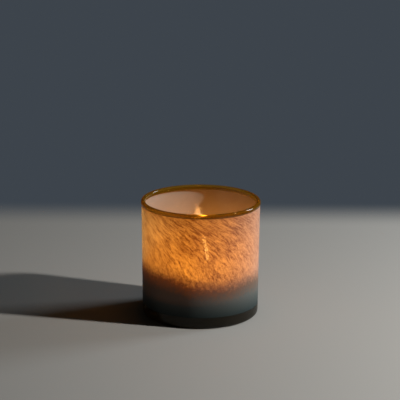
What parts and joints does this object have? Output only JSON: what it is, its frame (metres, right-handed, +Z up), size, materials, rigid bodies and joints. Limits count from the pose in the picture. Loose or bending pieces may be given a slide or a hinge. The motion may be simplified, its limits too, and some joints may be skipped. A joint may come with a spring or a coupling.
{
  "type": "tealight holder",
  "caption": "Straight round cased-glass cup on a thick base that holds a lit tealight: speckled frosted upper wall, smoky lower band, rounded amber lip.",
  "frame": {"origin": "centre of the base, in the plane it stands on", "axes": "+Z up along the axis of the glass; the seam between the two overlays is highest towards -X, -Y; the burnt wick end leans towards +X"},
  "size_m": [0.076, 0.076, 0.0745],
  "materials": {
    "amber_glass": "clear, fire-polished",
    "frit_glass": "satin, speckled",
    "smoke_glass": "satin, streaked",
    "lip_glass": "clear, fire-polished",
    "cup_aluminium": "thin pressed foil",
    "wax": "paraffin, melted round the wick",
    "wick_cotton": "braided, burnt at the end",
    "tinplate": "stamped tinplate",
    "flame": "candle flame, gives light"
  },
  "bodies": {
    "holder": {"core_glass": "amber_glass", "frit_overlay": "frit_glass", "smoke_overlay": "smoke_glass", "lip_wrap": "lip_glass"},
    "tealight": {"tealight_cup": "cup_aluminium", "wax": "wax", "wick": "wick_cotton", "wick_sustainer": "tinplate"}
  },
  "joints": [
    {"name": "tealight_lift", "type": "slide", "parent": "holder", "child": "tealight", "axis": [0, 0, 1], "range_m": [0, 0.085]}
  ]
}
